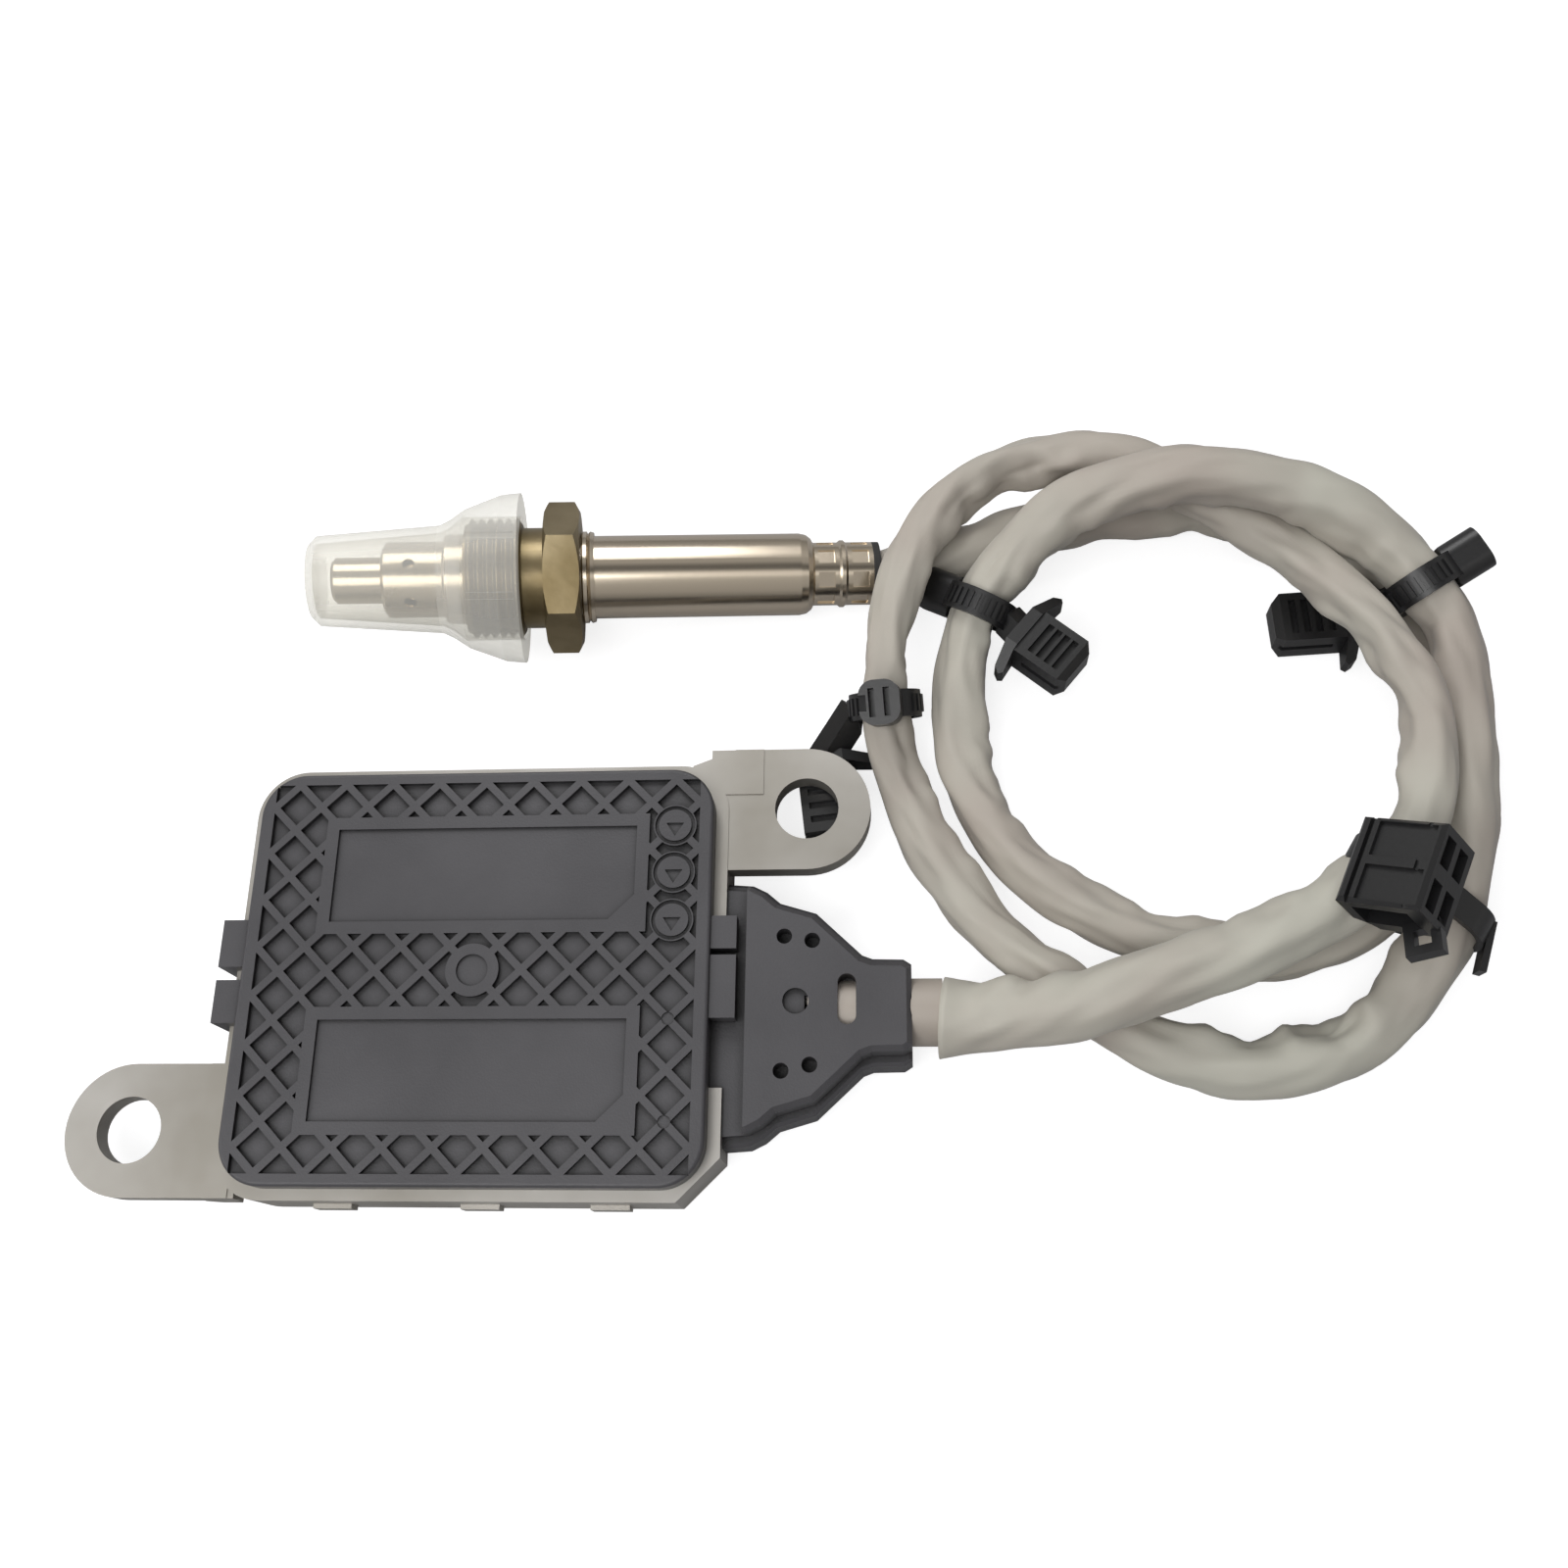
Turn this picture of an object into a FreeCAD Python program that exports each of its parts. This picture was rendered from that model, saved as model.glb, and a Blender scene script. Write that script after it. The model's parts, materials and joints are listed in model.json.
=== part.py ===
import FreeCAD, Part
import math
import os

V = FreeCAD.Vector
UP = V(0, 0, 1)

# Exhaust gas sensor with its control unit, millimetres.
# The origin is the centre of the control unit's flat underside, +Z is up,
# +X runs from the control unit to the cable outlet and +Y to the probe.

# Control unit
BASE_HALF_X = 39.0
BASE_HALF_Y = 34.5
BASE_CORNER = 8.0
BASE_CHAMFER = 6.5
BASE_TOP = 10.0
FLOOR_THICK = 2.4
WALL_X = 4.0
WALL_Y = 3.8
EAR_TOP = 9.8
EAR_THICK = 3.6
EAR_RADIUS = 10.2
EAR_HOLE_RADIUS = 5.1
LEFT_HOLE = (-BASE_HALF_X - 14.0, -BASE_HALF_Y + 10.5)
RIGHT_HOLE = (BASE_HALF_X + 12.5, BASE_HALF_Y - 7.5)
EAR_LIP = 2.7

COVER_INSET_X = 2.0
COVER_INSET_Y = 1.75
COVER_HALF_X = BASE_HALF_X - COVER_INSET_X
COVER_HALF_Y = BASE_HALF_Y - COVER_INSET_Y
COVER_CORNER = 7.0
COVER_TOP = 13.5
COVER_ROOF = 1.9
COVER_WALL = 2.5
BORDER = 2.0
GRID = 3.865
RIB = 1.2
CELL_DEPTH = 0.9
LABEL_DEPTH = 0.5
LABEL_FRAME = 2.0
LABELS = ((-23.65, 24.85, 7.9, 23.2), (-23.65, 24.6, -23.2, -7.7))
GATE_RADIUS = 4.2
DIAL_X = 8 * GRID
DIAL_Y = (6 * GRID, 4 * GRID, 2 * GRID)
DIAL_RADIUS = 3.4
HOOKS = ((0.9, 8.5, 4.7), (-8.0, -1.2, -4.6))

SEAL_LAND = 0.4
SEAL_HALF_X = BASE_HALF_X - WALL_X + SEAL_LAND
SEAL_HALF_Y = BASE_HALF_Y - WALL_Y + SEAL_LAND
SEAL_WIDTH = 1.2
SEAL_DEPTH = 0.6

BOARD_GAP = 2.0
BOARD_HALF_X = BASE_HALF_X - WALL_X - BOARD_GAP
BOARD_HALF_Y = BASE_HALF_Y - WALL_Y - BOARD_GAP
BOARD_LOW = 5.0
BOARD_THICK = 1.6
SCREW_INSET = 4.0
SCREW_X = BOARD_HALF_X - SCREW_INSET
SCREW_Y = BOARD_HALF_Y - SCREW_INSET
SCREW_RADIUS = 1.2
HEADER_END = BOARD_HALF_X - 5.0
WIRE_RADIUS = 0.8

# Cable outlet of the control unit
OUTLET_Y = -5.6
OUTLET_LOW = 1.0
OUTLET_SPLIT = 7.0
OUTLET_TOP = 12.6
OUTLET_STEP_X = BASE_HALF_X + 3.5
OUTLET_STEP_TOP = 9.2
OUTLET_OUTLINE = (
    (0, 19.2), (4.0, 18.9), (6.2, 17.8), (8.3, 16.0), (14.0, 14.3),
    (21.2, 7.5), (22.8, 6.9), (27.6, 6.8), (28.8, 6.0),
)
OUTLET_FLANGE = 1.5
OUTLET_FLANGE_TOP = 7.7
SLOT_RADIUS = 1.4
PLUG_HALF_Y = 12.0
GLAND_RADIUS = 5.0
GLAND_START = BASE_HALF_X + 13.0
COLLAR_RADIUS = 5.2
COLLAR_START = BASE_HALF_X + OUTLET_OUTLINE[-1][0]
COLLAR_LENGTH = 4.7

# Cable, a sleeve lying in two and a half turns
CABLE_DIAMETER = 8.8
ROUTE = (
    (72.5, -5.6, 7.0), (81.3, -6.5, 7.8), (90.8, -6.2, 12.6), (101.5, -3.2, 16.2),
    (116.0, 0.8, 16.0), (130.5, 7.7, 16.2), (140.6, 15.6, 18.0), (146.1, 26.7, 20.1),
    (146.7, 39.4, 19.6), (141.4, 53.0, 18.2), (133.4, 64.4, 15.6), (124.0, 74.1, 13.7),
    (113.8, 82.6, 13.5), (102.4, 88.6, 12.7), (91.0, 89.1, 11.9), (79.9, 84.9, 11.9),
    (72.1, 77.3, 13.3), (67.2, 66.3, 14.2), (64.6, 56.2, 12.6), (63.9, 46.6, 9.2),
    (65.3, 36.6, 5.8), (68.8, 25.8, 4.5), (75.5, 14.2, 4.4), (85.5, 3.2, 4.4),
    (97.3, -6.2, 4.4), (110.3, -12.8, 4.4), (124.4, -14.0, 4.4), (137.5, -8.7, 4.7),
    (146.4, 2.3, 8.7), (150.9, 13.7, 14.1), (152.8, 26.9, 14.4), (154.0, 39.7, 13.8),
    (154.0, 52.8, 14.6), (148.5, 64.1, 16.9), (135.0, 74.3, 20.8), (118.8, 78.6, 23.2),
    (104.0, 79.2, 21.2), (90.0, 74.6, 15.2), (80.2, 64.2, 9.6), (75.9, 51.0, 5.4),
    (76.0, 36.1, 4.4), (82.0, 23.3, 4.4), (92.0, 13.4, 4.4), (106.0, 5.6, 4.4),
    (120.3, 2.5, 4.4), (135.1, 7.0, 5.9), (145.3, 15.5, 6.9), (153.3, 30.6, 4.4),
    (156.1, 48.3, 4.4), (151.3, 66.3, 4.4), (138.0, 78.2, 4.4), (122.0, 82.9, 4.4),
    (105.6, 82.6, 4.4), (91.0, 80.2, 4.4), (79.0, 75.3, 4.4), (70.6, 72.5, 4.6),
    (63.0, 71.2, 5.4),
)

# Probe, measured along its axis from the end of the cable
PROBE_START = V(63.0, 71.2, 5.4)
PROBE_AXIS = V(-0.98726, -0.06357, 0.14585)
CRIMP_RADIUS = 5.35
CRIMP_START = 1.2
CRIMP_END = 11.2
SLEEVE_RADIUS = 6.95
SLEEVE_END = 48.2
SLEEVE_BORE = 6.1
HEX_START = 50.4
HEX_LENGTH = 5.9
HEX_ACROSS_FLATS = 22.0
HEX_ROLL = 8.5
NECK_RADIUS = 8.4
THREAD_RADIUS = 10.0
THREAD_PITCH = 1.5
THREAD_START = 60.0
THREAD_END = 69.4
BODY_RADIUS = 6.95
NUT_BORE = BODY_RADIUS + 0.06
COLLAR_END = 73.0
TUBE_RADIUS = 6.3
TUBE_STEP = 83.2
TUBE_TIP_RADIUS = 3.85
TUBE_END = 91.7
TUBE_WALL = 0.5
CAP_WALL = 1.2
CAP_OUTLINE = (
    (60.2, 14.2), (61.5, 14.1), (63.4, 13.9), (66.6, 12.7), (69.5, 11.6),
    (72.0, 9.9), (73.8, 9.0), (95.2, 7.4),
)

# Clips on the cable
BAND_IN = 4.6
BAND_THICK = 1.3
BAND_WIDTH = 4.4
LOCK_REACH = 10.2
LOCK_HALF = 3.6
LOCK_ROUND = 2.5
WING_REACH = 8.6
FOOT_HALF = 4.3
STRAP_IN = 5.1
STRAP_OUT = 6.1
STRAP_MIDDLE = (144.2, 12.4, 11.0)
STRAP_TAIL = 7.8
BLOCK_WIDE = 12.6
BLOCK_HIGH = 13.4
BLOCK_THICK = 9.2
BLOCK_NORMAL = (-0.60, 0.25, 0.757)
BLOCK_UP = (0.403, 0.914, 0.017)
BLOCK_CENTRE = (136.9, 8.8, 29.3)


def block(x0, x1, y0, y1, z0, z1):
    """Box between two corners"""
    return Part.makeBox(x1 - x0, y1 - y0, z1 - z0, V(x0, y0, z0))


def upright_edges(shape, test):
    """Upright straight edges whose place passes a test"""
    found = []
    for edge in shape.Edges:
        a = edge.Vertexes[0].Point
        b = edge.Vertexes[-1].Point
        upright = math.hypot(a.x - b.x, a.y - b.y) < 0.01 and abs(a.z - b.z) > 0.01
        if upright and test(a.x, a.y):
            found.append(edge)
    return found


def slab(half_x, half_y, radius, z0, z1):
    """Rounded rectangle about the origin, between two heights"""
    box = block(-half_x, half_x, -half_y, half_y, z0, z1)
    return box.makeFillet(radius, upright_edges(box, lambda x, y: True))


def prism(points, z0, z1):
    """Upright prism on an outline in X and Y"""
    corners = [V(x, y, z0) for x, y in points]
    face = Part.Face(Part.makePolygon(corners + corners[:1]))
    return face.extrude(V(0, 0, z1 - z0))


def rod(x, y, radius, z0, z1):
    """Upright cylinder"""
    return Part.makeCylinder(radius, z1 - z0, V(x, y, z0))


def turned(outline):
    """Solid turned about +Z from points of station and radius"""
    corners = [V(radius, 0, station) for station, radius in outline]
    face = Part.Face(Part.makePolygon(corners + corners[:1]))
    return face.revolve(V(0, 0, 0), UP, 360)


def placed(shape, origin, z_axis, x_axis=None):
    """Copy moved from the origin to a frame with the given axes"""
    if x_axis is None:
        turn = FreeCAD.Rotation(UP, z_axis)
    else:
        y_axis = z_axis.cross(x_axis)
        turn = FreeCAD.Rotation(x_axis, y_axis, z_axis, "ZXY")
    moved = shape.copy()
    moved.Placement = FreeCAD.Placement(origin, turn)
    return moved


def on_probe(shape, roll=0.0):
    """Copy moved from its own axis to the probe's axis"""
    rolled = shape.copy()
    rolled.rotate(V(0, 0, 0), UP, roll)
    turn = FreeCAD.Placement(PROBE_START, FreeCAD.Rotation(UP, PROBE_AXIS))
    return moved_by(rolled, turn)


def moved_by(shape, placement):
    """Copy of a shape under one more placement"""
    moved = shape.copy()
    moved.Placement = placement.multiply(moved.Placement)
    return moved


def save(name, shape):
    """Write one piece and print its checks"""
    clean = shape.removeSplitter()
    print(name, "solids", len(clean.Solids), "valid", clean.isValid(), "volume", round(clean.Volume, 1))
    clean.exportStep("parts/" + name + ".step")
    return clean


def ear(hole, wall_x, low_y, high_y, z0, z1):
    """Fixing ear from the wall out to the round end about its hole"""
    ends = sorted((hole[0], wall_x))
    plate = block(ends[0], ends[1], low_y, high_y, z0, z1)
    return plate.fuse(rod(hole[0], hole[1], EAR_RADIUS, z0, z1))


def make_base():
    """Cast lower half of the control unit, open at the top"""
    outer = block(-BASE_HALF_X, BASE_HALF_X, -BASE_HALF_Y, BASE_HALF_Y, 0, BASE_TOP)
    outer = outer.makeFillet(BASE_CORNER, upright_edges(outer, lambda x, y: not (x > 0 and y < 0)))
    outer = outer.makeChamfer(BASE_CHAMFER, upright_edges(
        outer, lambda x, y: x > BASE_HALF_X - 0.1 and y < 0.1 - BASE_HALF_Y))
    ear_low = EAR_TOP - EAR_THICK
    left = ear(LEFT_HOLE, -BASE_HALF_X + 4, LEFT_HOLE[1] - EAR_RADIUS, LEFT_HOLE[1] + EAR_RADIUS,
               ear_low, EAR_TOP)
    right = ear(RIGHT_HOLE, BASE_HALF_X - 3, RIGHT_HOLE[1] - EAR_RADIUS, RIGHT_HOLE[1] + EAR_RADIUS,
                ear_low, EAR_TOP)
    east = BASE_HALF_X
    north = BASE_HALF_Y
    west = -BASE_HALF_X
    lip = prism(((east - 9, north - 4), (east - 6, north), (east + 1, north + EAR_LIP),
                 (east + 9, north + EAR_LIP), (east + 9, north - 4)), ear_low, EAR_TOP)
    step_left = block(west - 7.5, west + 3, LEFT_HOLE[1] - EAR_RADIUS, LEFT_HOLE[1] - 2, ear_low, BASE_TOP)
    step_left = step_left.makeFillet(4.0, upright_edges(
        step_left, lambda x, y: x < west - 7 and y > LEFT_HOLE[1] - 3))
    step_right = prism(((east - 6, north), (east + 1, north + EAR_LIP), (east + 5.5, north + EAR_LIP),
                        (east + 5.5, north - 5), (east - 3, north - 5), (east - 6, north - 4)),
                       ear_low, BASE_TOP)
    root_low = ear_low - 2.8
    root_left = block(west - 2, west + 3, LEFT_HOLE[1] - EAR_RADIUS, LEFT_HOLE[1] + EAR_RADIUS,
                      root_low, BASE_TOP)
    root_left = root_left.makeChamfer(1.8, [e for e in root_left.Edges if e.BoundBox.ZMax < root_low + 0.1
                                            and e.BoundBox.XMax < west - 1.9])
    bumps = [block(x - 3, x + 3, -BASE_HALF_Y - 0.7, -BASE_HALF_Y + 1, 2.5, 5.5) for x in (-21, 2, 22)]
    nubs = [block(west - 1.4, west + 1, y - 1.6, y + 1.6, 5.4, 7.6) for _, _, y in HOOKS]
    body = outer.fuse([left, right, lip, step_left, step_right, root_left] + bumps + nubs)
    cavity = slab(BASE_HALF_X - WALL_X, BASE_HALF_Y - WALL_Y, 5.0, FLOOR_THICK, BASE_TOP)
    seat = seal_ring()
    notch = block(BASE_HALF_X - WALL_X - 0.5, BASE_HALF_X + 1, OUTLET_Y - PLUG_HALF_Y,
                  OUTLET_Y + PLUG_HALF_Y, FLOOR_THICK, BASE_TOP + 1)
    holes = [rod(x, y, EAR_HOLE_RADIUS, 0, BASE_TOP + 1) for x, y in (LEFT_HOLE, RIGHT_HOLE)]
    marks = [rod(x, y, 2.5, 0, 0.3) for x in (-28, 28) for y in (-22, 22)]
    body = body.cut([cavity, seat, notch] + holes + marks)
    posts = []
    for x in (-SCREW_X, SCREW_X):
        for y in (-SCREW_Y, SCREW_Y):
            post = rod(x, y, 3.0, FLOOR_THICK - 0.4, BOARD_LOW)
            posts.append(post.cut(rod(x, y, SCREW_RADIUS + 0.05, FLOOR_THICK + 0.2, BOARD_LOW)))
    return body.fuse(posts)


def cover_cells():
    """Square pockets on their corners between crossing ribs, kept off the labels and discs"""
    reach = GRID - RIB / math.sqrt(2)
    field = block(-COVER_HALF_X + BORDER + 0.2, COVER_HALF_X - BORDER - 0.2,
                  -COVER_HALF_Y + BORDER - 0.15, COVER_HALF_Y - BORDER + 0.15,
                  COVER_TOP - CELL_DEPTH, COVER_TOP)
    kept = [block(x0 - LABEL_FRAME, x1 + LABEL_FRAME, y0 - LABEL_FRAME, y1 + LABEL_FRAME,
                  COVER_TOP - 2, COVER_TOP + 1) for x0, x1, y0, y1 in LABELS]
    kept.append(rod(0, 0, GATE_RADIUS, COVER_TOP - 2, COVER_TOP + 1))
    kept += [rod(DIAL_X, y, DIAL_RADIUS, COVER_TOP - 2, COVER_TOP + 1) for y in DIAL_Y]
    cells = []
    across = int(COVER_HALF_X / GRID)
    up = int(COVER_HALF_Y / GRID)
    for i in range(-across, across + 1):
        for j in range(-up, up + 1):
            if (i + j) % 2 == 0:
                continue
            x = i * GRID
            y = j * GRID
            cell = prism(((x - reach, y), (x, y - reach), (x + reach, y), (x, y + reach)),
                         COVER_TOP - CELL_DEPTH, COVER_TOP)
            cells.append(cell)
    return Part.makeCompound(cells).common(field).cut(kept)


def make_cover():
    """Plastic cover with ribbed top, two bare label fields and snap hooks"""
    cover = slab(COVER_HALF_X, COVER_HALF_Y, COVER_CORNER, BASE_TOP, COVER_TOP)
    top_edges = [e for e in cover.Edges if e.BoundBox.ZMin > COVER_TOP - 0.01]
    cover = cover.makeFillet(0.6, top_edges)
    hollow = slab(COVER_HALF_X - COVER_WALL, COVER_HALF_Y - COVER_WALL, 5.0, BASE_TOP,
                  COVER_TOP - COVER_ROOF)
    labels = []
    for x0, x1, y0, y1 in LABELS:
        cut = 4.0
        labels.append(prism(((x0, y0), (x1 - cut, y0), (x1, y0 + cut), (x1, y1), (x0, y1)),
                            COVER_TOP - LABEL_DEPTH, COVER_TOP))
    dials = []
    for y in DIAL_Y:
        ring = rod(DIAL_X, y, DIAL_RADIUS - 0.2, COVER_TOP - 0.5, COVER_TOP)
        dials.append(ring.cut(rod(DIAL_X, y, DIAL_RADIUS - 0.8, COVER_TOP - 0.5, COVER_TOP)))
        dials.append(prism(((DIAL_X - 1.4, y + 0.4), (DIAL_X, y - 1.8), (DIAL_X + 1.4, y + 0.4)),
                           COVER_TOP - 0.4, COVER_TOP))
    gate = rod(0, 0, 2.5, COVER_TOP - 0.4, COVER_TOP)
    spots = [rod(DIAL_X, y, 1.0, COVER_TOP - 0.3, COVER_TOP) for y in (-2 * GRID, -6 * GRID)]
    cover = cover.cut([hollow, cover_cells(), gate] + labels + dials + spots)
    hooks = []
    for low, high, centre in HOOKS:
        arm = block(-BASE_HALF_X - 2, -COVER_HALF_X + 1.5, low, high, BASE_TOP + 0.1, COVER_TOP - 0.7)
        leg = block(-BASE_HALF_X - 2, -BASE_HALF_X - 0.1, low, high, 4.0, BASE_TOP + 0.2)
        window = block(-BASE_HALF_X - 3, -BASE_HALF_X, centre - 1.8, centre + 1.8, 5.2, 7.8)
        hooks.append(arm.fuse(leg).cut(window))
    for low, high in ((3.3, 8.5), (-7.5, 2.3)):
        hooks.append(block(COVER_HALF_X - 1.5, BASE_HALF_X + 2, low, high, BASE_TOP, COVER_TOP - 0.7))
    return cover.fuse(hooks)


def seal_ring():
    """Gasket and the groove of the rim that it fills"""
    outer = slab(SEAL_HALF_X + SEAL_WIDTH, SEAL_HALF_Y + SEAL_WIDTH, 6.0, BASE_TOP - SEAL_DEPTH, BASE_TOP)
    return outer.cut(slab(SEAL_HALF_X, SEAL_HALF_Y, 5.0, BASE_TOP - SEAL_DEPTH, BASE_TOP))


def make_board():
    """Circuit board with four screw holes"""
    board = slab(BOARD_HALF_X, BOARD_HALF_Y, 3.0, BOARD_LOW, BOARD_LOW + BOARD_THICK)
    holes = [rod(x, y, SCREW_RADIUS + 0.3, BOARD_LOW, BOARD_LOW + BOARD_THICK)
             for x in (-SCREW_X, SCREW_X) for y in (-SCREW_Y, SCREW_Y)]
    return board.cut(holes)


def make_board_screw(x, y):
    """Pan head screw through the board into its post"""
    top = BOARD_LOW + BOARD_THICK
    screw = rod(x, y, SCREW_RADIUS, FLOOR_THICK + 0.4, top).fuse(rod(x, y, 2.4, top, top + 1.6))
    slots = [block(x - 1.5, x + 1.5, y - 0.3, y + 0.3, top + 0.9, top + 1.6),
             block(x - 0.3, x + 0.3, y - 1.5, y + 1.5, top + 0.9, top + 1.6)]
    return screw.cut(slots)


def make_transistor(x, y):
    """Flat power transistor with a heat tab and three legs"""
    top = BOARD_LOW + BOARD_THICK
    body = block(x - 5, x + 5, y - 4.5, y + 4.5, top, top + 2.4)
    tab = block(x - 4.4, x + 4.4, y + 4.5, y + 6.0, top, top + 0.8)
    legs = [block(x + s - 0.5, x + s + 0.5, y - 7.0, y - 4.5, top, top + 0.8) for s in (-3.2, 0, 3.2)]
    return body.fuse([tab] + legs)


def make_capacitor(x, y):
    """Upright can on a square foot"""
    top = BOARD_LOW + BOARD_THICK
    return block(x - 4.2, x + 4.2, y - 4.2, y + 4.2, top, top + 0.8).fuse(rod(x, y, 4.0, top, 11.3))


def outlet_half(z0, z1, grow):
    """Outer form of the outlet between two heights, wider by a margin on both sides"""
    side = [(BASE_HALF_X + x, OUTLET_Y + half + grow) for x, half in OUTLET_OUTLINE]
    other = [(BASE_HALF_X + x, OUTLET_Y - half - grow) for x, half in reversed(OUTLET_OUTLINE)]
    return prism(side + other, z0, z1)


def along_x(radius, x0, x1):
    """Cylinder on the outlet's axis"""
    return Part.makeCylinder(radius, x1 - x0, V(x0, OUTLET_Y, OUTLET_SPLIT), V(1, 0, 0))


def make_outlet_shells():
    """Lower and upper halves of the cable outlet"""
    wire_room = block(BASE_HALF_X - WALL_X - 1, GLAND_START, OUTLET_Y - 6.5, OUTLET_Y + 6.5, 3.6, 8.5)
    bore = along_x(GLAND_RADIUS, GLAND_START - 0.5, COLLAR_START + 1)
    lower = outlet_half(OUTLET_LOW, OUTLET_SPLIT, OUTLET_FLANGE)
    low_edges = [e for e in lower.Edges if e.BoundBox.ZMax < OUTLET_LOW + 0.01
                 and e.BoundBox.XMax > BASE_HALF_X + 0.1]
    lower = lower.makeChamfer(0.8, low_edges)
    foot = block(BASE_HALF_X - WALL_X, BASE_HALF_X + 0.5, OUTLET_Y - PLUG_HALF_Y,
                 OUTLET_Y + PLUG_HALF_Y, FLOOR_THICK, OUTLET_SPLIT)
    lower = lower.fuse(foot).cut([wire_room, bore])
    upper = outlet_half(OUTLET_SPLIT, OUTLET_TOP, 0.0)
    top_edges = [e for e in upper.Edges if e.BoundBox.ZMin > OUTLET_TOP - 0.01
                 and e.BoundBox.XMax > BASE_HALF_X + 0.1]
    upper = upper.makeChamfer(0.8, top_edges)
    rim = outlet_half(OUTLET_SPLIT, OUTLET_FLANGE_TOP, OUTLET_FLANGE)
    rim_edges = [e for e in rim.Edges if e.BoundBox.ZMin > OUTLET_FLANGE_TOP - 0.01
                 and e.BoundBox.XMax > BASE_HALF_X + 0.1]
    upper = upper.fuse(rim.makeChamfer(0.5, rim_edges))
    step = block(BASE_HALF_X - 1, OUTLET_STEP_X, OUTLET_Y - 30, OUTLET_Y + 30, OUTLET_STEP_TOP, 20)
    head = block(BASE_HALF_X - WALL_X, BASE_HALF_X + 0.5, OUTLET_Y - PLUG_HALF_Y,
                 OUTLET_Y + PLUG_HALF_Y, OUTLET_SPLIT, OUTLET_STEP_TOP)
    pits = [rod(BASE_HALF_X + x, OUTLET_Y + y, 1.2, OUTLET_TOP - 3.2, OUTLET_TOP)
            for x, y in ((9.4, 10.8), (13.7, 10.1), (9.1, -9.9), (13.4, -9.0))]
    dimple = rod(BASE_HALF_X + 11.2, OUTLET_Y + 0.7, 2.0, OUTLET_TOP - 0.9, OUTLET_TOP)
    slot_x = BASE_HALF_X + 19.0
    slot_ends = (OUTLET_Y - 1.5, OUTLET_Y + 3.5)
    slot = block(slot_x - SLOT_RADIUS, slot_x + SLOT_RADIUS, slot_ends[0], slot_ends[1],
                 OUTLET_TOP - 3.6, OUTLET_TOP)
    slot = slot.fuse([rod(slot_x, y, SLOT_RADIUS, OUTLET_TOP - 3.6, OUTLET_TOP) for y in slot_ends])
    upper = upper.cut(step).fuse(head).cut([wire_room, bore, dimple, slot] + pits)
    return lower, upper


def make_gland():
    """Rubber bushing in the outlet with a collar outside it"""
    inner = along_x(GLAND_RADIUS, GLAND_START, COLLAR_START)
    collar = along_x(COLLAR_RADIUS, COLLAR_START, COLLAR_START + COLLAR_LENGTH)
    return inner.fuse(collar)


def cable_path():
    """Straight runs of the route joined by tangent arcs"""
    points = [V(*p) for p in ROUTE]
    edges = []
    start = points[0]
    radii = []
    for before, corner, after in zip(points, points[1:], points[2:]):
        back = before - corner
        onward = after - corner
        run = 0.45 * min(back.Length, onward.Length)
        half_turn = (math.pi - back.getAngle(onward)) / 2
        radius = run / math.tan(half_turn)
        radii.append(radius / CABLE_DIAMETER)
        back.normalize()
        onward.normalize()
        middle = back + onward
        middle.normalize()
        arc_start = corner + back * run
        arc_end = corner + onward * run
        arc_middle = corner + middle * (radius / math.cos(half_turn) - radius)
        edges.append(Part.LineSegment(start, arc_start).toShape())
        edges.append(Part.Arc(arc_start, arc_middle, arc_end).toShape())
        start = arc_end
    edges.append(Part.LineSegment(start, points[-1]).toShape())
    print("radii in diameters", [round(r, 1) for r in radii])
    return Part.Wire(edges)


def make_cable(path):
    """Round tube along the path"""
    first = path.Edges[0]
    along = first.tangentAt(first.FirstParameter)
    ring = Part.Wire(Part.makeCircle(CABLE_DIAMETER / 2, V(*ROUTE[0]), along))
    tube = path.makePipeShell([ring], True, False)
    section = math.pi * CABLE_DIAMETER ** 2 / 4
    print("cable length", round(path.Length, 1), "volume ratio", tube.Volume / (section * path.Length))
    return tube


def make_grommet():
    """Rubber bung between the cable and the crimped tube"""
    return on_probe(turned(((0, 0), (0, CRIMP_RADIUS), (CRIMP_START, CRIMP_RADIUS),
                            (CRIMP_START, 4.4), (9.5, 4.4), (9.5, 0))))


def make_rear_sleeve():
    """Steel tube, crimped on the bung with two rows of dents and a bead between"""
    outline = [
        (CRIMP_START, 4.4), (CRIMP_START, CRIMP_RADIUS), (5.6, CRIMP_RADIUS), (6.0, CRIMP_RADIUS + 0.35),
        (6.6, CRIMP_RADIUS + 0.35), (7.0, CRIMP_RADIUS), (CRIMP_END, CRIMP_RADIUS),
        (CRIMP_END + 0.4, 6.1), (CRIMP_END + 1.2, 6.7), (CRIMP_END + 2.4, SLEEVE_RADIUS),
        (SLEEVE_END, SLEEVE_RADIUS), (SLEEVE_END, SLEEVE_BORE), (13.2, SLEEVE_BORE),
        (12.2, 5.4), (11.4, 4.4),
    ]
    sleeve = turned(outline)
    dents = []
    for station in (3.4, 9.2):
        for k in range(8):
            dent = block(-1.3, 1.3, CRIMP_RADIUS - 0.45, CRIMP_RADIUS + 1, station - 1.4, station + 1.4)
            dent.rotate(V(0, 0, 0), UP, 45 * k + 10)
            dents.append(dent)
    return on_probe(sleeve.cut(dents))


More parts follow.
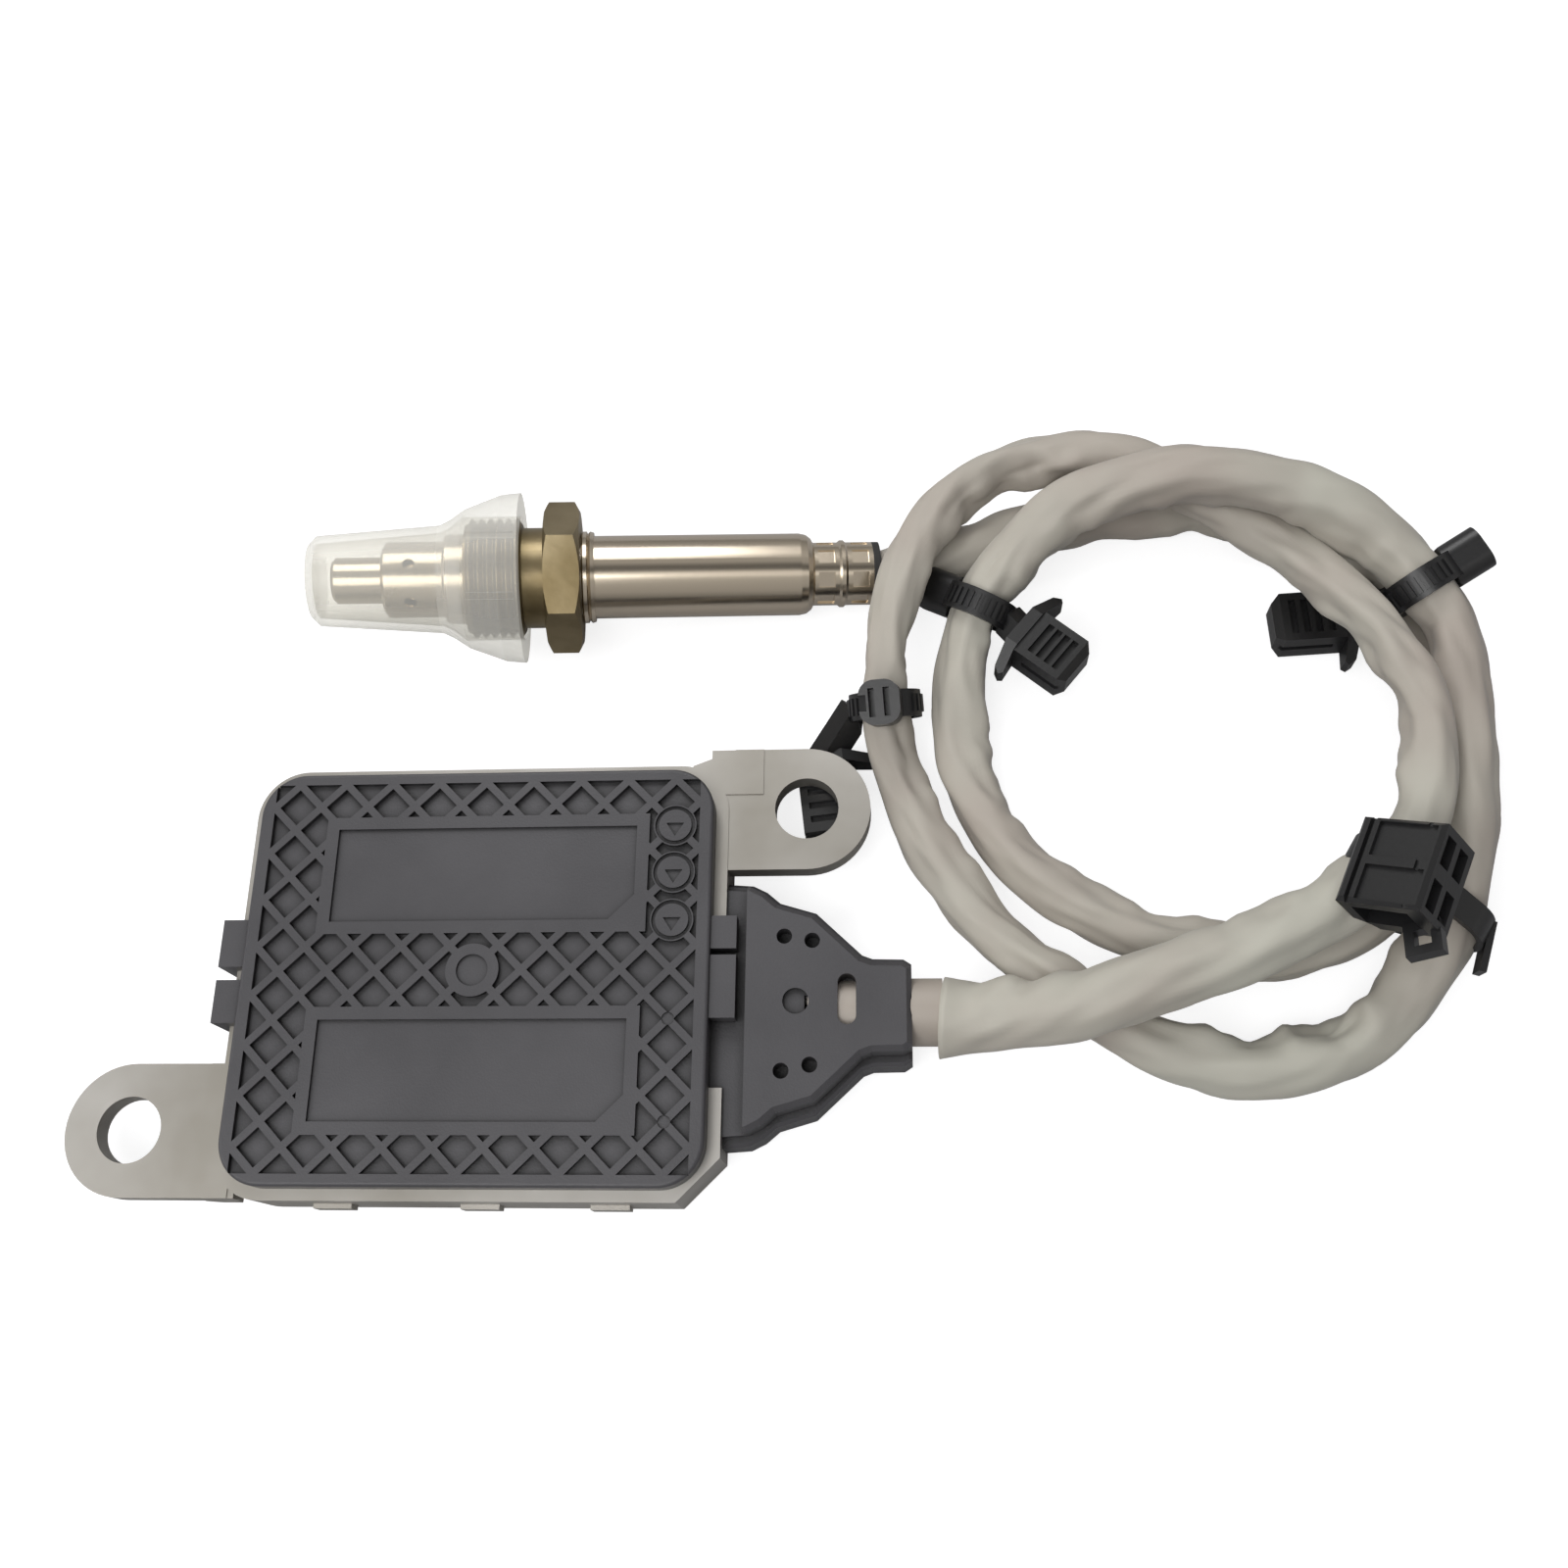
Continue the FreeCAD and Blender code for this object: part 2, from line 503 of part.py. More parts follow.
def make_sensor_housing():
    """Steel body that carries the nut, with a weld collar behind and a seat in front"""
    return on_probe(turned((
        (44.0, 3.3), (44.0, SLEEVE_BORE), (SLEEVE_END, SLEEVE_BORE), (SLEEVE_END, 7.5),
        (48.8, 7.7), (49.2, 7.3), (49.4, 7.7), (50.0, 7.7), (50.3, 7.4), (50.3, BODY_RADIUS),
        (69.5, BODY_RADIUS), (69.5, 7.5), (72.6, 7.5), (COLLAR_END, 7.2), (COLLAR_END, 3.3))))


def make_nut():
    """Union nut: hexagon, neck and ringed thread on one running bore"""
    corner = HEX_ACROSS_FLATS / math.sqrt(3)
    points = [(corner * math.cos(math.radians(60 * k)), corner * math.sin(math.radians(60 * k)))
              for k in range(6)]
    hexagon = prism(points, HEX_START, HEX_START + HEX_LENGTH)
    dome = turned(((HEX_START, 0), (HEX_START, 11.0), (HEX_START + 1.0, corner + 0.2),
                   (HEX_START + HEX_LENGTH - 0.8, corner + 0.2), (HEX_START + HEX_LENGTH, 11.2),
                   (HEX_START + HEX_LENGTH, 0)))
    hexagon = hexagon.common(dome)
    outline = [(HEX_START + HEX_LENGTH, 0), (HEX_START + HEX_LENGTH, NECK_RADIUS),
               (THREAD_START, NECK_RADIUS)]
    turns = int((THREAD_END - THREAD_START) / THREAD_PITCH)
    for k in range(turns):
        low = THREAD_START + k * THREAD_PITCH
        outline += [(low + 0.1, THREAD_RADIUS - 0.9), (low + 0.75, THREAD_RADIUS),
                    (low + 0.95, THREAD_RADIUS), (low + THREAD_PITCH, THREAD_RADIUS - 0.9)]
    outline += [(THREAD_END, THREAD_RADIUS - 0.9), (THREAD_END, 0)]
    nut = hexagon.fuse(turned(outline))
    nut = nut.cut(Part.makeCylinder(NUT_BORE, 30, V(0, 0, HEX_START - 5)))
    return on_probe(nut, HEX_ROLL)


def make_outer_tube():
    """Outer shield with a ring of gas holes and an open tip"""
    wall = TUBE_WALL
    tube = turned((
        (COLLAR_END, TUBE_RADIUS - wall), (COLLAR_END, TUBE_RADIUS), (TUBE_STEP - 0.6, TUBE_RADIUS),
        (TUBE_STEP, TUBE_RADIUS - 0.8), (TUBE_STEP, TUBE_TIP_RADIUS), (TUBE_END - 0.6, TUBE_TIP_RADIUS),
        (TUBE_END, TUBE_TIP_RADIUS - 0.6), (TUBE_END, 1.2), (TUBE_END - wall, 1.2),
        (TUBE_END - wall, TUBE_TIP_RADIUS - 0.8), (TUBE_END - 0.9, TUBE_TIP_RADIUS - wall),
        (TUBE_STEP - wall, TUBE_TIP_RADIUS - wall), (TUBE_STEP - wall, TUBE_RADIUS - 1.0),
        (TUBE_STEP - 0.9, TUBE_RADIUS - wall)))
    holes = []
    for k in range(6):
        hole = Part.makeCylinder(1.0, 10, V(0, 0, 78.5), V(1, 0, 0))
        hole.rotate(V(0, 0, 0), UP, 60 * k)
        holes.append(hole)
    return on_probe(tube.cut(holes))


def make_inner_tube():
    """Inner shield around the sensing element"""
    return on_probe(turned((
        (COLLAR_END, 4.6), (COLLAR_END, 5.0), (81.0, 5.0), (81.6, 2.95), (90.5, 2.95),
        (90.5, 1.0), (90.1, 1.0), (90.1, 2.55), (81.3, 2.55), (80.6, 4.6))))


def element_bar(half_wide, half_thick, start, end):
    """Flat bar on the probe's own axis"""
    return block(-half_wide, half_wide, -half_thick, half_thick, start, end)


def make_ceramics():
    """Contact carrier, front bushing and the flat sensing element"""
    element = element_bar(2.1, 0.8, 26, 88)
    room = element_bar(2.15, 0.85, 26, 90)
    carrier = turned(((14.0, 0), (14.0, 5.6), (14.5, 6.0), (43.5, 6.0), (43.5, 0))).cut(room)
    bushing = turned(((46.0, 0), (46.0, 3.25), (72.0, 3.25), (72.0, 0))).cut(room)
    return on_probe(element), on_probe(carrier), on_probe(bushing)


def make_cap():
    """Soft protective cap over the thread and the shields"""
    first = CAP_OUTLINE[0]
    last = CAP_OUTLINE[-1]
    tip = [(last[0] - 1.2, last[1] + 0.1), (last[0], last[1] - 1.1), (last[0], 0),
           (last[0] - CAP_WALL, 0), (last[0] - CAP_WALL, last[1] - CAP_WALL)]
    inner = [(station, radius - CAP_WALL) for station, radius in CAP_OUTLINE[-2:-4:-1]]
    inner += [(THREAD_END + 0.6, THREAD_RADIUS + 0.3), (first[0], THREAD_RADIUS + 0.3)]
    cap = turned(list(CAP_OUTLINE[:-1]) + tip + inner)
    ribs = []
    for k in range(6):
        rib = block(THREAD_RADIUS + 0.08, THREAD_RADIUS + 0.5, -0.6, 0.6, first[0] + 1, THREAD_END - 0.4)
        rib.rotate(V(0, 0, 0), UP, 60 * k + 20)
        ribs.append(rib)
    return on_probe(cap.fuse(ribs))


def nearest_on(path, target):
    """Place and direction of the path nearest to a point"""
    best = None
    for edge in path.Edges:
        distance, pairs = edge.distToShape(Part.Vertex(target))[:2]
        if best is None or distance < best[0]:
            parameter = edge.Curve.parameter(pairs[0][0])
            best = (distance, pairs[0][0], edge.tangentAt(parameter))
    return best[1], best[2]


def beam(start, end, wide, deep):
    """Square bar between two points"""
    along = end - start
    bar = block(-wide / 2, wide / 2, -deep / 2, deep / 2, 0, along.Length)
    return placed(bar, start, along.normalize())


def make_fir_tree_clip(path, near, head_way, neck_points, tree_way, wing_way, tree_length, tree_deep):
    """Cable band with its head, a neck, a winged flange and a slotted push-in foot"""
    centre, along = nearest_on(path, near)
    head = head_way - along * head_way.dot(along)
    head.normalize()
    band = Part.makeCylinder(BAND_IN + BAND_THICK, BAND_WIDTH, V(0, 0, -BAND_WIDTH / 2))
    ladder = []
    for k in range(4, 28):
        tooth = block(BAND_IN + BAND_THICK - 0.2, BAND_IN + BAND_THICK + 0.35, -0.3, 0.3, -1.4, 1.4)
        tooth.rotate(V(0, 0, 0), UP, 11.25 * k)
        ladder.append(tooth)
    lock = block(4.0, LOCK_REACH, -3.3, 3.3, -LOCK_HALF, LOCK_HALF)
    lock = lock.makeFillet(LOCK_ROUND, [e for e in lock.Edges if e.BoundBox.XLength > 3])
    mouths = [block(LOCK_REACH - 2.4, LOCK_REACH + 1, y, y + 1.0, -2.3, 2.3) for y in (-1.7, 0.7)]
    notch = prism(((LOCK_REACH - 2.2, 4), (LOCK_REACH + 0.1, 2.0), (LOCK_REACH + 0.1, 4)), -1.3, 1.3)
    ring = band.fuse(ladder + [lock]).cut(mouths + [notch])
    ring = ring.cut(Part.makeCylinder(BAND_IN, 20, V(0, 0, -10)))
    ring = placed(ring, centre, along, head)
    to_neck = neck_points[0] - centre
    to_neck = to_neck - along * to_neck.dot(along)
    to_neck.normalize()
    points = [centre + to_neck * (BAND_IN + 0.4)] + neck_points
    bars = [beam(a, b, 4.2, 4.2) for a, b in zip(points, points[1:])]
    way = V(tree_way)
    way.normalize()
    wing = wing_way - way * wing_way.dot(way)
    wing.normalize()
    deep = tree_deep / 2
    reach = WING_REACH
    side = ((reach, 1.4), (reach - 0.8, 0.2), (3.5, -0.9), (-3.5, -0.9), (0.8 - reach, 0.2), (-reach, 1.4),
            (0.6 - reach, 2.0), (-4.2, 1.2), (4.2, 1.2), (reach - 0.6, 2.0))
    corners = [V(x, -deep - 0.5, z) for x, z in side]
    flange = Part.Face(Part.makePolygon(corners + corners[:1])).extrude(V(0, 2 * deep + 1, 0))
    star = prism(((reach, 1.5), (3.4, deep + 0.5), (-3.4, deep + 0.5), (-reach, 1.5),
                  (-reach, -1.5), (-3.4, -deep - 0.5), (3.4, -deep - 0.5), (reach, -1.5)), -3, 4)
    flange = flange.common(star)
    foot = block(-FOOT_HALF, FOOT_HALF, -deep, deep, 0.6, tree_length)
    foot = foot.makeChamfer(1.2, [e for e in foot.Edges if e.BoundBox.ZMin > tree_length - 0.1])
    slots = []
    for k in range(4):
        low = 3.0 + k * (tree_length - 4.6) / 4
        for y in (deep, -deep):
            slots.append(block(-3.0, 3.0, y - 1.1, y + 1.1, low, low + 1.1))
    grooves = [block(x - 0.5, x + 0.5, -0.6, 0.6, 3.0, tree_length + 1) for x in (-FOOT_HALF, FOOT_HALF)]
    mount = placed(flange.fuse(foot).cut(slots + grooves), neck_points[-1], way, wing)
    bore = Part.makeCylinder(BAND_IN, 12, centre - along * 6, along)
    return ring.fuse([b.cut(bore) for b in bars] + [mount])


def make_edge_clip(path):
    """Two pieces: a block with panels and slots, and the strap around three strands"""
    heading = math.radians(58)
    along = V(math.cos(heading), math.sin(heading), 0)
    across = V(math.sin(heading), -math.cos(heading), 0)
    middle = V(*STRAP_MIDDLE)
    samples = path.discretize(Distance=0.5)
    crossings = []
    for a, b in zip(samples, samples[1:]):
        side_a = (a - middle).dot(along)
        side_b = (b - middle).dot(along)
        if side_a * side_b <= 0 and (a - middle).Length < 14:
            crossings.append(V((a - middle).dot(across), a.z, 0))
    print("strands in the strap", crossings)
    corners = Part.makePolygon(crossings + crossings[:1])
    face = Part.Face(corners)
    outer = face.makeOffset2D(STRAP_OUT, join=0)
    inner = face.makeOffset2D(STRAP_IN, join=0)
    band = outer.cut(inner).extrude(V(0, 0, BAND_WIDTH))
    band.translate(V(0, 0, -BAND_WIDTH / 2))
    base = V(middle.x, middle.y, 0)
    strap = placed(band, base, along * -1, across)
    outermost = max(crossings, key=lambda c: c.x)
    tail = block(0, STRAP_OUT - STRAP_IN, -2.0, 2.0, 0, STRAP_TAIL)
    tail_way = V(-0.30, -0.95, -0.1)
    tail_way.normalize()
    tail_out = across - tail_way * across.dot(tail_way)
    tail_out.normalize()
    tail_at = base + across * (outermost.x + STRAP_IN) + UP * outermost.y
    strap = strap.fuse(placed(tail, tail_at, tail_way, tail_out))
    high = max(crossings, key=lambda c: c.y - c.x)
    strand = base + across * high.x + UP * high.y
    normal = V(*BLOCK_NORMAL)
    normal.normalize()
    up_face = V(*BLOCK_UP)
    up_face = up_face - normal * up_face.dot(normal)
    up_face.normalize()
    right_face = up_face.cross(normal)
    centre = V(*BLOCK_CENTRE)
    half_x = BLOCK_WIDE / 2
    half_y = BLOCK_HIGH / 2
    top = BLOCK_THICK / 2
    body = block(-half_x, half_x, -half_y, half_y, -top, top)
    body = body.makeChamfer(0.6, [e for e in body.Edges if e.BoundBox.ZMin > top - 0.1])
    panels = [block(-3.4, half_x - 1.0, y, y + 5.4, top - 0.7, top) for y in (-6.2, 0.6)]
    groove = block(-4.9, -4.2, -half_y, half_y, top - 0.9, top)
    windows = [block(half_x - 1.4, half_x, y, y + 4.4, z, z + 2.6) for y in (-5.6, 1.0)
               for z in (-3.3, 0.6)]
    mouth = block(-half_x + 1.6, half_x - 2.6, -half_y - 1, half_y - 3, -2.6, 2.4)
    seam = block(half_x - 2.6, half_x - 2.0, -half_y, half_y, top - 0.5, top)
    body = body.cut(panels + windows + [groove, mouth, seam])
    body = placed(body, centre, normal, right_face)
    saddle = beam(strand, centre - normal * (top - 0.8) - right_face * 3.5, 8.0, 8.0)
    loop = block(-2.6, 2.6, -2.6, 2.6, -0.9, 0.9).cut(block(-1.2, 1.2, -1.2, 1.2, -1, 1))
    loop = placed(loop, centre + right_face * (half_x - 2.0) - up_face * (half_y + 1.2) - normal * 3.0, normal)
    body = body.fuse([saddle, loop])
    strap_core = Part.makeCylinder(STRAP_OUT + 0.05, 40, strand - along * 20, along)
    body = body.cut([strap_core, strap])
    solids = sorted(body.Solids, key=lambda s: s.Volume)
    return solids[-1], strap


os.makedirs("parts", exist_ok=True)

save("housing_base", make_base())
save("cover", make_cover())
save("cover_seal", seal_ring())
save("circuit_board", make_board())
save("microcontroller", block(-14, -1, -2, 11, BOARD_LOW + BOARD_THICK, BOARD_LOW + BOARD_THICK + 1.6))
for number, x in enumerate((-20, -6, 8), 1):
    save("power_transistor_%d" % number, make_transistor(x, BOARD_HALF_Y - 8.7))
for number, x in enumerate((-22, -10), 1):
    save("capacitor_%d" % number, make_capacitor(x, 12.7 - BOARD_HALF_Y))
number = 0
for x in (-SCREW_X, SCREW_X):
    for y in (-SCREW_Y, SCREW_Y):
        number += 1
        save("board_screw_%d" % number, make_board_screw(x, y))
save("terminal_header", block(HEADER_END - 8, HEADER_END, OUTLET_Y - 10.5, OUTLET_Y + 10.5,
                              BOARD_LOW + BOARD_THICK, 9.4))
for number in range(1, 6):
    wire_y = OUTLET_Y + 2.0 * (number - 3)
    save("lead_wire_%d" % number,
         Part.makeCylinder(WIRE_RADIUS, GLAND_START - HEADER_END, V(HEADER_END, wire_y, 7.6), V(1, 0, 0)))
lower_shell, upper_shell = make_outlet_shells()
save("outlet_lower_shell", lower_shell)
save("outlet_upper_shell", upper_shell)
save("outlet_gland", make_gland())
cable_line = cable_path()
save("cable", make_cable(cable_line))
save("cable_grommet", make_grommet())
save("rear_sleeve", make_rear_sleeve())
save("sensor_housing", make_sensor_housing())
save("union_nut", make_nut())
save("outer_protection_tube", make_outer_tube())
save("inner_protection_tube", make_inner_tube())
sensing_element, contact_carrier, front_bushing = make_ceramics()
save("sensing_element", sensing_element)
save("contact_carrier", contact_carrier)
save("front_bushing", front_bushing)
save("protection_cap", make_cap())
save("fir_tree_clip_1", make_fir_tree_clip(
    cable_line, V(79.4, 62.8, 9.0), V(-1, 0, -0.5), [V(87.0, 57.0, 9.2)],
    V(0.77, -0.64, 0), V(0.64, 0.77, 0), 11.0, 6.6))
save("fir_tree_clip_2", make_fir_tree_clip(
    cable_line, V(64.0, 45.0, 8.6), V(-0.1, 0, 1), [V(56.6, 41.5, 5.2), V(53.6, 37.5, 3.3)],
    V(0.12, -1, 0), V(1, 0.12, 0), 14.0, 4.2))
save("fir_tree_clip_3", make_fir_tree_clip(
    cable_line, V(149.8, 61.0, 16.4), V(0.95, 0.2, 0.2),
    [V(145.8, 60.6, 9.2), V(144.8, 60.6, 5.0), V(141.0, 60.6, 4.2)],
    V(-1, -0.05, 0), V(0.05, -1, 0), 12.5, 6.4))
edge_block, edge_strap = make_edge_clip(cable_line)
save("edge_clip_block", edge_block)
save("edge_clip_strap", edge_strap)
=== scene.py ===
import json
import math
import bpy
from mathutils import Matrix, Vector, noise


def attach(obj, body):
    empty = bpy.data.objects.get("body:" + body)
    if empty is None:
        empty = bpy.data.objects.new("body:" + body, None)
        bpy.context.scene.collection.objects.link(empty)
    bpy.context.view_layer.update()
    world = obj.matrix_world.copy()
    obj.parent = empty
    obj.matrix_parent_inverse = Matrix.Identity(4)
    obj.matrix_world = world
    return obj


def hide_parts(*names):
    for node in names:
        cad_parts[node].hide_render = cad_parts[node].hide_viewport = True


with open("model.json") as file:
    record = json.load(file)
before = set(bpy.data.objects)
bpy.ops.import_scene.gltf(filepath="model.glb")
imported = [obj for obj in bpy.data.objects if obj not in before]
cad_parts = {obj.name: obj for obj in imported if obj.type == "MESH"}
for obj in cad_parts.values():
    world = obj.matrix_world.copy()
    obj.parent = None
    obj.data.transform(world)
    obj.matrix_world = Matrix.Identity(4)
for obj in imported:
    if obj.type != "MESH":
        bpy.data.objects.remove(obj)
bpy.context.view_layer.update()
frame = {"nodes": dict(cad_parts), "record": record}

MM = 0.001
nodes = frame["nodes"]

# Camera, fitted to the photograph
CAMERA_AT = Vector((68.23, -56.4, 246.3)) * MM
CAMERA_FORWARD = Vector((-0.0808, 0.3462, -0.9347))
CAMERA_RIGHT = Vector((0.9966, 0.013, -0.0813))
LENS = 36.0
SENSOR_WIDTH = 36.0
CLIP_START = 5 * MM

# Cable, the route of the frame's tube in mm
ROUTE = (
    (72.5, -5.6, 7.0), (81.3, -6.5, 7.8), (90.8, -6.2, 12.6), (101.5, -3.2, 16.2),
    (116.0, 0.8, 16.0), (130.5, 7.7, 16.2), (140.6, 15.6, 18.0), (146.1, 26.7, 20.1),
    (146.7, 39.4, 19.6), (141.4, 53.0, 18.2), (133.4, 64.4, 15.6), (124.0, 74.1, 13.7),
    (113.8, 82.6, 13.5), (102.4, 88.6, 12.7), (91.0, 89.1, 11.9), (79.9, 84.9, 11.9),
    (72.1, 77.3, 13.3), (67.2, 66.3, 14.2), (64.6, 56.2, 12.6), (63.9, 46.6, 9.2),
    (65.3, 36.6, 5.8), (68.8, 25.8, 4.5), (75.5, 14.2, 4.4), (85.5, 3.2, 4.4),
    (97.3, -6.2, 4.4), (110.3, -12.8, 4.4), (124.4, -14.0, 4.4), (137.5, -8.7, 4.7),
    (146.4, 2.3, 8.7), (150.9, 13.7, 14.1), (152.8, 26.9, 14.4), (154.0, 39.7, 13.8),
    (154.0, 52.8, 14.6), (148.5, 64.1, 16.9), (135.0, 74.3, 20.8), (118.8, 78.6, 23.2),
    (104.0, 79.2, 21.2), (90.0, 74.6, 15.2), (80.2, 64.2, 9.6), (75.9, 51.0, 5.4),
    (76.0, 36.1, 4.4), (82.0, 23.3, 4.4), (92.0, 13.4, 4.4), (106.0, 5.6, 4.4),
    (120.3, 2.5, 4.4), (135.1, 7.0, 5.9), (145.3, 15.5, 6.9), (153.3, 30.6, 4.4),
    (156.1, 48.3, 4.4), (151.3, 66.3, 4.4), (138.0, 78.2, 4.4), (122.0, 82.9, 4.4),
    (105.6, 82.6, 4.4), (91.0, 80.2, 4.4), (79.0, 75.3, 4.4), (70.6, 72.5, 4.6),
    (63.0, 71.2, 5.4),
)
LINE_ORDER = 3
LINE_RESOLUTION = 10

# Radius of the sleeve by distance along it, both in mm
SLEEVE_RADII = (
    (0, 4.9), (68, 4.8), (90, 3.9), (145, 3.9), (160, 4.1), (190, 4.1), (205, 3.7), (248, 3.7),
    (262, 4.2), (298, 4.3), (316, 4.8), (358, 4.8), (374, 4.3), (424, 4.2), (442, 4.4), (488, 4.4),
    (505, 4.1), (546, 4.1), (562, 4.3), (770, 4.3),
)
RING_STEP = 1.0 * MM
RING_SIDES = 44

# Open end at the outlet: wider, sagging and with calmer folds; snug end at the probe
FLARE = 1.45 * MM
FLARE_REACH = 9 * MM
MOUTH_SAG = Vector((0, -0.9, -0.2)) * MM
MOUTH_REACH = 12 * MM
CALM_REACH = 6 * MM
CALM_LEAST = 0.3
SNUG = 0.35 * MM
SNUG_REACH = 8 * MM

# Folds of the sleeve: height, length along it and, for the twisted ones, the twist's length
WAVE = 0.95 * MM
WAVE_LENGTH = 17 * MM
WAVES_AROUND = 1.1
FOLD = 0.60 * MM
FOLD_LENGTH = 8 * MM
FOLD_TWIST = 24 * MM
FOLDS_AROUND = 2.0

# Puckers on the inner side of bends tighter than TIGHT_RADIUS
BEND_REACH = 8
TIGHT_RADIUS = 30 * MM
PINCH = 3.0 * MM
PINCH_TOP = 0.25
PINCH_LENGTH = 7.0 * MM
RIPPLE = 0.7 * MM
RIPPLE_LENGTH = 3.4 * MM

# Finishes by the record's slot name: screen colour, roughness, metallic
FINISHES = {
    "cast_aluminium": ((190, 187, 182), 0.46, 0.85),
    "dark_plastic": ((66, 65, 68), 0.46, 0.0),
    "black_nylon": ((30, 30, 31), 0.36, 0.0),
    "black_rubber": ((40, 39, 38), 0.7, 0.0),
    "grey_rubber": ((170, 161, 151), 0.5, 0.0),
    "board_green": ((30, 90, 50), 0.3, 0.0),
    "chip_black": ((40, 40, 42), 0.5, 0.0),
    "can_aluminium": ((215, 215, 215), 0.25, 1.0),
    "screw_steel": ((190, 190, 190), 0.3, 1.0),
    "wire_white": ((220, 220, 215), 0.5, 0.0),
    "grey_sleeve": ((182, 178, 167), 0.62, 0.0),
    "olive_steel": ((132, 118, 88), 0.36, 0.8),
    "warm_steel": ((205, 193, 175), 0.2, 1.0),
    "white_ceramic": ((230, 228, 220), 0.5, 0.0),
}
# Fine bump: scale, strength, distance
GRAIN = {
    "cast_aluminium": (350, 0.10, 0.0001),
    "dark_plastic": (2600, 0.35, 0.00012),
    "black_nylon": (1500, 0.15, 0.0001),
    "grey_sleeve": (700, 0.12, 0.0002),
    "olive_steel": (500, 0.2, 0.0002),
}
# Slow change of tone, for finishes with grain: scale, darker and lighter screen colour
MOTTLE = {
    "cast_aluminium": (34, (150, 146, 138), (178, 175, 170)),
    "dark_plastic": (45, (63, 62, 65), (73, 72, 75)),
    "grey_sleeve": (26, (172, 163, 153), (188, 186, 174)),
    "olive_steel": (90, (118, 104, 74), (146, 132, 102)),
}
GRAIN_DETAIL = 3.0
MOTTLE_DETAIL = 4.0
MOTTLE_FROM = 0.35
MOTTLE_TO = 0.65
SLEEVE_SHEEN = 0.15
SHARP_ANGLE = math.radians(32)

# Painted shade in the cells and pits of the dark plastic: how far it reaches, from which openness on, and
# how dark
CORNER_SHADE_REACH = 2 * MM
CORNER_SHADE_OPEN = 0.45
CORNER_SHADE_DARKEST = 0.22
CORNER_SHADE_SAMPLES = 8

# Cap: its colour, a painted glow that makes it brighter than its light, and how much of the milky plastic
# covers what is under it, seen straight and at its edges
CAP_COLOUR = (240, 239, 234)
CAP_PAINTED_GLOW_COLOUR = (250, 248, 240)
CAP_PAINTED_GLOW = 0.08
CAP_CLEAR = (0.98, 0.975, 0.95, 1.0)
CAP_ROUGHNESS = 0.3
CAP_EDGE_BLEND = 0.35
CAP_STRAIGHT = 0.20
CAP_EDGE = 0.62

# Strips that reflections see: degrees from straight up, about the X axis, and brightness
STREAKS = (
    (-90, 0.22), (-72, 0.42), (-34, 0.50), (-28, 0.95), (-18, 0.95), (-12, 0.10), (2, 0.12),
    (9, 0.40), (40, 0.55), (62, 0.42), (90, 0.25),
)
STREAK_TINT = (1.0, 0.985, 0.96)

# Light of the surroundings by height, from level to straight up
SKY = (
    (0.0, (0.10, 0.098, 0.095, 1.0)),
    (0.35, (0.17, 0.166, 0.162, 1.0)),
    (0.9, (0.46, 0.46, 0.47, 1.0)),
)

# Table top
TABLE_HALF = 0.6
TABLE_TOP = -0.0002
TABLE_COLOUR = (170, 170, 171)
TABLE_ROUGHNESS = 0.8
FLOOR_GLOW = 0.80

# Lamps: name, place, side in metres, power in watts
LAMPS = (
    ("front", (-0.14, -0.24, 0.56), 0.40, 1.9),
    ("behind", (-0.05, 0.44, 0.42), 0.30, 1.3),
    ("left", (-0.5, -0.02, 0.34), 0.25, 0.6),
)
LAMP_TARGET = (0.05, 0.02, 0.0)


def linear(red, green, blue):
    """Scene colour of a screen colour given from 0 to 255"""
    values = []
    for value in (red, green, blue):
        part = value / 255
        values.append(part / 12.92 if part < 0.04045 else ((part + 0.055) / 1.055) ** 2.4)
    return (values[0], values[1], values[2], 1.0)


def make_camera():
    """Camera of the photograph"""
    data = bpy.data.cameras.new("camera")
    data.lens = LENS
    data.sensor_width = SENSOR_WIDTH
    data.clip_start = CLIP_START
    camera = bpy.data.objects.new("camera", data)
    bpy.context.scene.collection.objects.link(camera)
    back = -CAMERA_FORWARD.normalized()
    right = CAMERA_RIGHT.normalized()
    up = back.cross(right).normalized()
    right = up.cross(back)
    turn = Matrix((right, up, back)).transposed().to_4x4()
    camera.matrix_world = Matrix.Translation(CAMERA_AT) @ turn
    bpy.context.scene.camera = camera


def cable_line():
    """Points of the smooth line that the route's points control"""
    curve = bpy.data.curves.new("cable_line", "CURVE")
    curve.dimensions = "3D"
    curve.resolution_u = LINE_RESOLUTION
    spline = curve.splines.new("NURBS")
    spline.points.add(len(ROUTE) - 1)
    for point, place in zip(spline.points, ROUTE):
        point.co = (place[0] * MM, place[1] * MM, place[2] * MM, 1.0)
    spline.order_u = LINE_ORDER
    spline.use_endpoint_u = True
    holder = bpy.data.objects.new("cable_line", curve)
    bpy.context.scene.collection.objects.link(holder)
    mesh = bpy.data.meshes.new_from_object(holder)
    line = [vertex.co.copy() for vertex in mesh.vertices]
    bpy.data.objects.remove(holder)
    bpy.data.meshes.remove(mesh)
    return line


def even_points(line, step):
    """The same line with evenly spaced points, and its length"""
    lengths = [0.0]
    for a, b in zip(line, line[1:]):
        lengths.append(lengths[-1] + (b - a).length)
    count = int(lengths[-1] / step)
    result = []
    k = 0
    for n in range(count + 1):
        target = lengths[-1] * n / count
        while k < len(lengths) - 2 and lengths[k + 1] < target:
            k += 1
        share = (target - lengths[k]) / max(lengths[k + 1] - lengths[k], 1e-9)
        result.append(line[k].lerp(line[k + 1], share))
    return result, lengths[-1]


